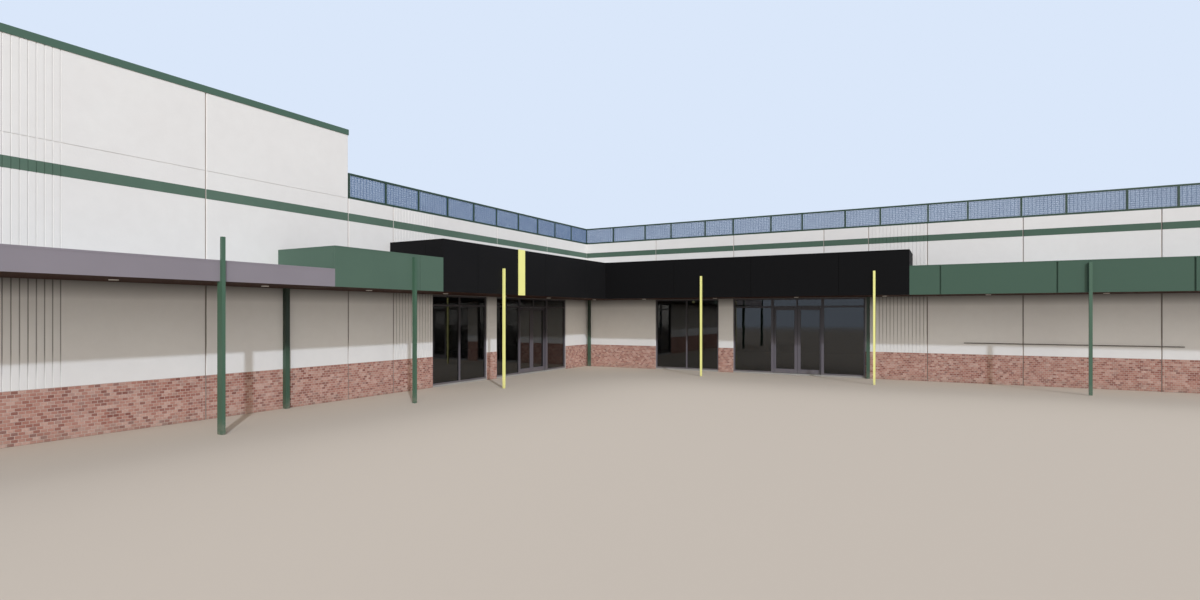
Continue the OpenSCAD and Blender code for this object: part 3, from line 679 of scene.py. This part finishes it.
def lay_bricks(bm, points, out):
    """Lays the bricks of one facing slab over its mortar bed."""
    turn = Matrix.Rotation(math.atan2(out.x, -out.y), 4, "Z")
    local = [turn.inverted() @ p for p in points]
    low, high = span(local)
    face = [p.x for p in local if p.y < low.y + ON_PLANE]
    rear = [p.x for p in local if p.y > high.y - ON_PLANE]
    start, end = min(face), max(face)
    left = min(rear) > start + LEAST_MITRE
    right = max(rear) < end - LEAST_MITRE
    slab = bmesh.new()
    inset = RAKED if left else 0
    outset = RAKED if right else 0
    prism(slab, [(start + inset, low.y + RAKED, 0), (end - outset, low.y + RAKED, 0),
                 (max(rear), high.y, 0), (min(rear), high.y, 0)],
          (0, 0, COURSES * COURSE - BED_SHY))
    for f in slab.faces:
        f.material_index = 1
    for course in range(COURSES):
        run = end - start
        lengths = lengths_of_course(run, BRICK_L if course % 2 else (BRICK_L - JOINT) / 2)
        if right and not left:
            lengths.reverse()
        x = start
        for i, length in enumerate(lengths):
            template = brick_template(length, left and i == 0, right and i == len(lengths) - 1)
            stamp(slab, template, Matrix.Translation((x, low.y, course * COURSE)))
            x += length + JOINT
    laid = mesh_of(slab)
    stamp(bm, laid, turn)
    bpy.data.meshes.remove(laid)


# Which way each facing looks, and the piece that its bricks go into
FACINGS = {
    "west_brick_facing": {(1, 0): "west_bricks"},
    "north_brick_facing": {(0, -1): "north_bricks"},
    "rear_brick_facing": {(0, -1): "south_end_bricks", (-1, 0): "west_back_bricks",
                          (0, 1): "north_back_bricks", (1, 0): "east_end_bricks"},
}


def outward(points, sides):
    """Which way a facing looks: a hidden wall's looks away from the middle of the plan."""
    if len(sides) == 1:
        return list(sides)[0]
    low, high = span(points)
    middle = (low + high) / 2
    if high.x - low.x < FACING_T * 2:
        return (1 if middle.x > 0 else -1, 0)
    return (0, 1 if middle.y > 0 else -1)


for node, sides in FACINGS.items():
    laid = {name: bmesh.new() for name in sides.values()}
    for points in solids(node):
        out = outward(points, sides)
        lay_bricks(laid[sides[out]], points, Vector((*out, 0)))
    for name, bm in laid.items():
        piece(name, bm, (brick, bed), stands_for=(node,))

WIRE_R = 0.0023
ROD_R = 0.0055
UPRIGHT_PITCH = 0.01
CROSS_PITCH = 0.0125
UPRIGHT_RODS = 10
CROSS_RODS = 5


def wire_template(radius, length, axis):
    """A straight six-sided wire, with its middle at the origin."""
    bm = bmesh.new()
    turn = Matrix()
    if axis != "z":
        turn = Matrix.Rotation(math.radians(90), 4, "Y" if axis == "x" else "X")
    bmesh.ops.create_cone(bm, cap_ends=True, segments=6, radius1=radius, radius2=radius,
                          depth=length, matrix=turn)
    return mesh_of(bm)


def row_of_wires(bm, length, axis, middle, step, room, pitch, rods):
    """A row of wires side by side, in which every so many is a thicker rod."""
    wire_made = wire_template(WIRE_R, length, axis)
    rod_made = wire_template(ROD_R, length, axis)
    count = int(room / pitch)
    for i in range(count):
        chosen = rod_made if i % rods == rods // 2 else wire_made
        stamp(bm, chosen, Matrix.Translation(middle + step * (i - (count - 1) / 2) * pitch))
    bpy.data.meshes.remove(wire_made)
    bpy.data.meshes.remove(rod_made)


def weave(bm, low, high):
    """Fills one bay with upright wires in front and level wires behind them. A bay is made by
    itself and then added, because adding each wire to all the bays so far is slow."""
    size = high - low
    middle = (low + high) / 2
    along = "x" if size.x > size.y else "y"
    run = max(size.x, size.y)
    out = Vector((0, -WIRE_R, 0)) if along == "x" else Vector((WIRE_R, 0, 0))
    step = Vector((1, 0, 0)) if along == "x" else Vector((0, 1, 0))
    bay = bmesh.new()
    row_of_wires(bay, size.z, "z", middle + out, step, run, UPRIGHT_PITCH, UPRIGHT_RODS)
    row_of_wires(bay, run, along, middle - out, Vector((0, 0, 1)), size.z, CROSS_PITCH, CROSS_RODS)
    woven = mesh_of(bay)
    stamp(bm, woven, Matrix())
    bpy.data.meshes.remove(woven)


screens = {"west": bmesh.new(), "north": bmesh.new()}
for points in solids("screen_mesh"):
    low, high = span(points)
    weave(screens["north" if high.x - low.x > high.y - low.y else "west"], low, high)
for side, bm in screens.items():
    piece(side + "_screen_wires", bm, (wire,), stands_for=("screen_mesh",))


BOARD_PITCH = 0.15
BOARD_GAP = 0.005
BOARD_T = 0.012
BOARD_BEVEL = 0.0015
SOFFIT_T = 0.02
CORNER_GAP = 0.012

soffit_bays = (
    (west, 0.0, WEST_BLACK_END - FASCIA_T),
    (west, WEST_BLACK_END, WEST_GREEN_END - FASCIA_T),
    (west, WEST_GREEN_END, WEST_LEN - FASCIA_T),
    (north, CANOPY_IN + CORNER_GAP, NORTH_BLACK_END - FASCIA_T),
    (north, NORTH_BLACK_END, NORTH_LEN - FASCIA_T),
)
bm = bmesh.new()
for wall, start, end in soffit_bays:
    box(bm, wall(start, 0, SOFFIT_Z + BOARD_T), wall(end, CANOPY_IN, SOFFIT_Z + SOFFIT_T))
    for i in range(round(CANOPY_IN / BOARD_PITCH)):
        low = wall(start, i * BOARD_PITCH + BOARD_GAP, SOFFIT_Z)
        box(bm, low, wall(end, (i + 1) * BOARD_PITCH, SOFFIT_Z + BOARD_T), BOARD_BEVEL)
piece("soffit_boards", bm, (brown_soffit,), stands_for=("canopy_soffit",))


LENS_Z = SOFFIT_Z - 0.0125
LENS_LOW_R = 0.045
LENS_TOP_R = 0.0545
LENS_T = 0.0055
LENS_SIDES = 24

bm = bmesh.new()
for side, places in LIGHTS.items():
    for at in places:
        disc(bm, FRONTS[side](at, LIGHT_OUT, LENS_Z), LENS_LOW_R, LENS_TOP_R, LENS_T, LENS_SIDES)
piece("lamp_lenses", bm, (lens,))


CAP_T = 0.004
CAP_H = 0.03
CAP_GAP = 0.01
SEAM = 0.001
STEP_GAP = 0.005

# Lengths between the seams of each fascia, as the CAD has them. The yellow fin and two posts
# stand between lengths that don't meet.
BLACK_LENGTHS = (
    (west, ((1.95, 3.52), (3.52, 6.23), (6.23, FIN[0]), (FIN[1], 9.7), (9.7, WEST_BLACK_END))),
    (north, ((2.005, 4.91), (4.91, 7.8), (7.8, 10.71), (10.71, NORTH_BLACK_END))),
)
GREEN_LENGTHS = (
    (west, ((WEST_BLACK_END + STEP_GAP, 11.98), (11.98, WEST_GREEN_END))),
    (north, ((NORTH_BLACK_END + STEP_GAP, 13.646), (13.646, 16.567), (16.567, 19.512),
             (19.512, NORTH_LEN))),
)
GREY_LENGTHS = (
    (west, ((WEST_GREEN_END + STEP_GAP, 17.005), (17.075, 20.4), (20.4, 21.665),
            (21.735, WEST_LEN))),
)


def cap_outline(low, high, top):
    """Outline of folded trim over the top edge of a plate that lies between two faces."""
    return [(low, top), (high, top), (high, top - CAP_H), (high + CAP_T, top - CAP_H),
            (high + CAP_T, top + CAP_T), (low, top + CAP_T)]


def capping(bm, wall, lengths, top):
    """Folded trim over a fascia, in lengths that meet at its seams."""
    for start, end in lengths:
        bar(bm, wall, cap_outline(CANOPY_IN, CANOPY_D, top), start + SEAM, end - SEAM)


def return_capping(bm, wall, end, top):
    """The same trim over the end of a canopy, clear of the wall and of the fascia."""
    outline = [wall(at, CAP_GAP, z) for at, z in cap_outline(end - FASCIA_T, end, top)]
    prism(bm, outline, wall(0, CANOPY_IN - CAP_GAP * 2, 0) - wall(0, 0, 0))


for name, material, slot, top, runs, ends in (
    ("black_fascia_capping", black_panel, "panel_black", BLACK_TOP, BLACK_LENGTHS,
     ((west, WEST_BLACK_END), (north, NORTH_BLACK_END))),
    ("green_fascia_capping", green_panel, "panel_green", GREEN_TOP, GREEN_LENGTHS,
     ((west, WEST_GREEN_END), (north, NORTH_LEN))),
    ("grey_fascia_capping", grey_panel, "panel_grey", GREY_TOP, GREY_LENGTHS,
     ((west, WEST_LEN),)),
):
    bm = bmesh.new()
    for wall, lengths in runs:
        capping(bm, wall, lengths, top)
    for wall, end in ends:
        return_capping(bm, wall, end, top)
    piece(name, bm, (material,))


LAP_W = 0.06
LAP_T = 0.0015
LAP_PITCH = 3.0

# The folded trim on the wall tops, as the CAD has it: how far it stands out, how far its top
# falls to the rear, and how far its outer leg comes down
TRIM_OUT = 0.015
TRIM_FALL = 0.012
CAPPING_LEG = 0.144
COPING_LEG = 0.1
PARAPET_LAPS = ((west, (15.21, 17.86, 20.5)), (south_end, (11.5,)))
COPING_RUNS = ((south_end, DEPTH - PARAPET_SIDE), (west_back, WEST_LEN + DEPTH),
               (north_back, NORTH_LEN + DEPTH), (east_end, BACK))


def lap(bm, wall, at, top, leg):
    """A cover strap over a joint of folded trim, wrapped round its outer leg and its top."""
    front = TRIM_OUT
    rear = -WALL_T - TRIM_OUT
    bar(bm, wall, [(front, top - leg), (front + LAP_T, top - leg), (front + LAP_T, top + LAP_T),
                   (rear - LAP_T, top - TRIM_FALL + LAP_T), (rear - LAP_T, top - leg / 2),
                   (rear, top - leg / 2), (rear, top - TRIM_FALL), (front, top)],
        at - LAP_W / 2, at + LAP_W / 2)


bm = bmesh.new()
for wall, places in PARAPET_LAPS:
    for at in places:
        lap(bm, wall, at, PARAPET_H, CAPPING_LEG)
for wall, run in COPING_RUNS:
    count = round(run / LAP_PITCH)
    for i in range(1, count):
        lap(bm, wall, run * i / count, COPING_TOP, COPING_LEG)
piece("coping_lap_straps", bm, (green_steel,))


BEAD_W = 0.008
BEAD_T = 0.004


def gaskets(bm, points):
    """Gasket strips round both faces of a pane."""
    low, high = span(points)
    thin = 0 if high.x - low.x < high.y - low.y else 1
    wide = 1 - thin
    for face in (low[thin] - BEAD_T, high[thin]):
        for z in (low.z, high.z - BEAD_W):
            first, last = low.copy(), high.copy()
            first[thin], last[thin] = face, face + BEAD_T
            first.z, last.z = z, z + BEAD_W
            box(bm, first, last)
        for edge in (low[wide], high[wide] - BEAD_W):
            first, last = low.copy(), high.copy()
            first[thin], last[thin] = face, face + BEAD_T
            first[wide], last[wide] = edge, edge + BEAD_W
            first.z, last.z = low.z + BEAD_W, high.z - BEAD_W
            box(bm, first, last)


for name, node, body in (
    ("glazing_gaskets", "glazing", "building"),
    ("leaf_gaskets_ws", "leaf_glass_ws", "west_door_south"),
    ("leaf_gaskets_wn", "leaf_glass_wn", "west_door_north"),
    ("leaf_gaskets_nw", "leaf_glass_nw", "north_door_west"),
    ("leaf_gaskets_ne", "leaf_glass_ne", "north_door_east"),
):
    bm = bmesh.new()
    for points in solids(node):
        gaskets(bm, points)
    piece(name, bm, (gasket,), body)


RAIL = (14.31, 19.79)
RAIL_Z = 1.297
RAIL_H = 0.025
RAIL_OUT = 0.03
RAIL_T = 0.015
RAIL_BEVEL = 0.002
PEGS = 7
PEG_R = 0.008
PEG_IN = 0.2

bm = bmesh.new()
box(bm, north(RAIL[0], RAIL_OUT, RAIL_Z), north(RAIL[1], RAIL_OUT + RAIL_T, RAIL_Z + RAIL_H),
    RAIL_BEVEL)
for i in range(PEGS):
    at = RAIL[0] + PEG_IN + i * (RAIL[1] - RAIL[0] - PEG_IN * 2) / (PEGS - 1)
    middle = Matrix.Translation(north(at, RAIL_OUT / 2, RAIL_Z + RAIL_H / 2))
    bmesh.ops.create_cone(bm, cap_ends=True, segments=12, radius1=PEG_R, radius2=PEG_R,
                          depth=RAIL_OUT, matrix=middle @ Matrix.Rotation(math.radians(90), 4, "X"))
piece("wall_rail", bm, (rail_coat,))


RIB_PITCH = 0.25
RIB_FOOT = 0.03
RIB_TOP = 0.015
RIB_H = 0.035
RIB_SUNK = 0.002
RIB_GAP = 0.02
LEAST_RIB = 0.3
WEST_FIRST_RIB = 0.225
NORTH_FIRST_RIB = 0.125

HIP_HALF = 0.15
HIP_T = 0.003
HIP_FOOT = 0.004
HIP_EDGE = 0.04
HIP_CREST = 0.046
HIP_NEAR = 0.3
HIP_FAR = BACK - 0.12


def rib(bm, wall, at, near, far):
    """A rib of the roof sheet, from the high end of the slope to the low end."""
    z = deck_top(near) - RIB_SUNK
    outline = [wall(at - RIB_FOOT, -near, z), wall(at - RIB_TOP, -near, z + RIB_H),
               wall(at + RIB_TOP, -near, z + RIB_H), wall(at + RIB_FOOT, -near, z)]
    fall = Vector((0, 0, deck_top(far) - deck_top(near)))
    prism(bm, outline, wall(0, -far, 0) - wall(0, -near, 0) + fall)


def ribs(name, wall, first, run):
    """All ribs of one wing, cut short at the hip and at the parapet's return."""
    bm = bmesh.new()
    at = first - math.floor((BACK + first) / RIB_PITCH) * RIB_PITCH
    while at < run - WALL_T - RIB_FOOT:
        near = WALL_T + RIB_GAP if at > -WALL_T else -at + HIP_HALF
        if wall is west and abs(at - PARAPET_START - WALL_T / 2) < WALL_T / 2 + RIB_FOOT:
            near = PARAPET_SIDE + RIB_GAP
        if near < BACK - LEAST_RIB:
            rib(bm, wall, at, near, BACK - RIB_GAP)
        at += RIB_PITCH
    piece(name, bm, (sheet,))


ribs("west_roof_ribs", west, WEST_FIRST_RIB, WEST_LEN)
ribs("north_roof_ribs", north, NORTH_FIRST_RIB, NORTH_LEN)

# The hip's outline runs over its outer face and back under its inner face
bm = bmesh.new()
inside = HIP_HALF - HIP_T
outline = [(-HIP_HALF, HIP_FOOT), (-HIP_HALF, HIP_EDGE), (0, HIP_CREST), (HIP_HALF, HIP_EDGE),
           (HIP_HALF, HIP_FOOT), (inside, HIP_FOOT), (inside, HIP_EDGE - HIP_T),
           (0, HIP_CREST - HIP_T), (-inside, HIP_EDGE - HIP_T), (-inside, HIP_FOOT)]
side_step = Vector((1, 1, 0)).normalized()
hip_start = CORNER + Vector((-HIP_NEAR, HIP_NEAR, deck_top(HIP_NEAR)))
hip_end = CORNER + Vector((-HIP_FAR, HIP_FAR, deck_top(HIP_FAR)))
prism(bm, [hip_start + side_step * u + Vector((0, 0, z)) for u, z in outline], hip_end - hip_start)
piece("hip_capping", bm, (sheet,))


FLASH_T = 0.002
FLASH_H = 0.15
FLASH_FOOT = 0.1
FLASH_GAP = 0.003


def flashing(bm, wall, start, end, z_start, z_end):
    """An angle of sheet metal at the foot of a wall, seen from the roof."""
    foot = RIB_H + FLASH_GAP
    face = -WALL_T
    outline = [(face, foot), (face - FLASH_FOOT, foot), (face - FLASH_FOOT, foot + FLASH_T),
               (face - FLASH_T, foot + FLASH_T), (face - FLASH_T, foot + FLASH_H),
               (face, foot + FLASH_H)]
    step = wall(end, 0, z_end) - wall(start, 0, z_start)
    prism(bm, [wall(start, out, z_start + z) for out, z in outline], step)


high_z, low_z = deck_top(WALL_T), deck_top(BACK)
bm = bmesh.new()
flashing(bm, west, 0.0, PARAPET_START, high_z, high_z)
flashing(bm, west, PARAPET_START + WALL_T, WEST_LEN - WALL_T - FLASH_GAP, high_z, high_z)
flashing(bm, north, 0.0, NORTH_LEN - WALL_T - FLASH_GAP, high_z, high_z)
flashing(bm, west_back, WALL_T, WEST_LEN + DEPTH - WALL_T, low_z, low_z)
flashing(bm, north_back, WALL_T, NORTH_LEN + DEPTH - WALL_T, low_z, low_z)
flashing(bm, south_end, WALL_T, BACK, low_z, high_z)
flashing(bm, east_end, WALL_T, BACK, low_z, high_z)
piece("roof_flashings", bm, (sheet,))


FLOOR_R = 140.0
FLOOR_Z = -0.002
FADE = (45.0, 120.0)

# The floor clears away with distance, so that its edge doesn't show
bm = bmesh.new()
bmesh.ops.create_circle(bm, cap_ends=True, segments=96, radius=FLOOR_R,
                        matrix=Matrix.Translation((0, 0, FLOOR_Z)))
floor = bpy.data.objects.new("floor", mesh_of(bm, "floor"))
bpy.context.scene.collection.objects.link(floor)
material, tree, shader, at = surface("plain_pale_floor", {
    "Base Color": colour("CDC1B1"), "Roughness": 0.9, "Specular IOR Level": 0.1})
distance = add(tree, "VectorMath", {0: at}, out="Value", operation="LENGTH")
gone = add(tree, "MapRange", {"Value": distance, "From Min": FADE[0], "From Max": FADE[1]},
           interpolation_type="SMOOTHSTEP")
clear = add(tree, "BsdfTransparent", {})
fading = add(tree, "MixShader", {0: gone, 1: shader.outputs[0], 2: clear})
plug(tree, tree.nodes["Material Output"], {"Surface": fading})
floor.data.materials.append(material)


def sun(name, towards, strength, angle, code):
    """A distant lamp, from the direction in which it stands, as wide as an angle in degrees."""
    lamp = bpy.data.lights.new(name, "SUN")
    lamp.energy = strength
    lamp.color = colour(code)[:3]
    lamp.angle = math.radians(angle)
    placed = bpy.data.objects.new(name, lamp)
    placed.rotation_euler = Vector(towards).to_track_quat("Z", "Y").to_euler()
    bpy.context.scene.collection.objects.link(placed)


sun("key_light", (0.662, -0.591, 0.487), 1.97, 1.4, "E7EFFD")
sun("front_light", (0.67, -0.69, 0.26), 2.06, 65, "FFF2DD")
sun("fill_light", (-0.45, 0.45, 0.77), 0.7, 40, "FFFFFF")

# The world lights the object a little, and the camera and the glass see a pale sky
world = bpy.data.worlds.new("studio")
bpy.context.scene.world = world
world.use_nodes = True
tree = world.node_tree
light = add(tree, "Background", {"Color": colour("DFE8FF"), "Strength": 0.4})
backdrop = add(tree, "Background", {"Color": colour("DAE7FA"), "Strength": 1.0})
seen = add(tree, "LightPath", {}, out="Is Camera Ray")
mirrored = add(tree, "LightPath", {}, out="Is Glossy Ray")
through = add(tree, "LightPath", {}, out="Is Transmission Ray")
either = add(tree, "Math", {0: seen, 1: mirrored}, operation="MAXIMUM")
shown = add(tree, "Math", {0: either, 1: through}, operation="MAXIMUM")
mixed = add(tree, "MixShader", {0: shown, 1: light, 2: backdrop})
plug(tree, tree.nodes["World Output"], {"Surface": mixed})

# The photo's camera, fitted to the building's right-angled edges
CAMERA_AT = (9.196, -19.578, 2.237)
CAMERA_TURN = 28.9
CAMERA_LENS = 18.996
CAMERA_SHIFT = 0.01223
CAMERA_REACH = 1000

view = bpy.data.cameras.new("camera")
view.lens = CAMERA_LENS
view.shift_y = CAMERA_SHIFT
view.clip_end = CAMERA_REACH
camera = bpy.data.objects.new("camera", view)
camera.location = CAMERA_AT
camera.rotation_euler = (math.radians(90), 0, math.radians(CAMERA_TURN))
bpy.context.scene.collection.objects.link(camera)
bpy.context.scene.camera = camera
bpy.context.scene.view_settings.view_transform = "Standard"
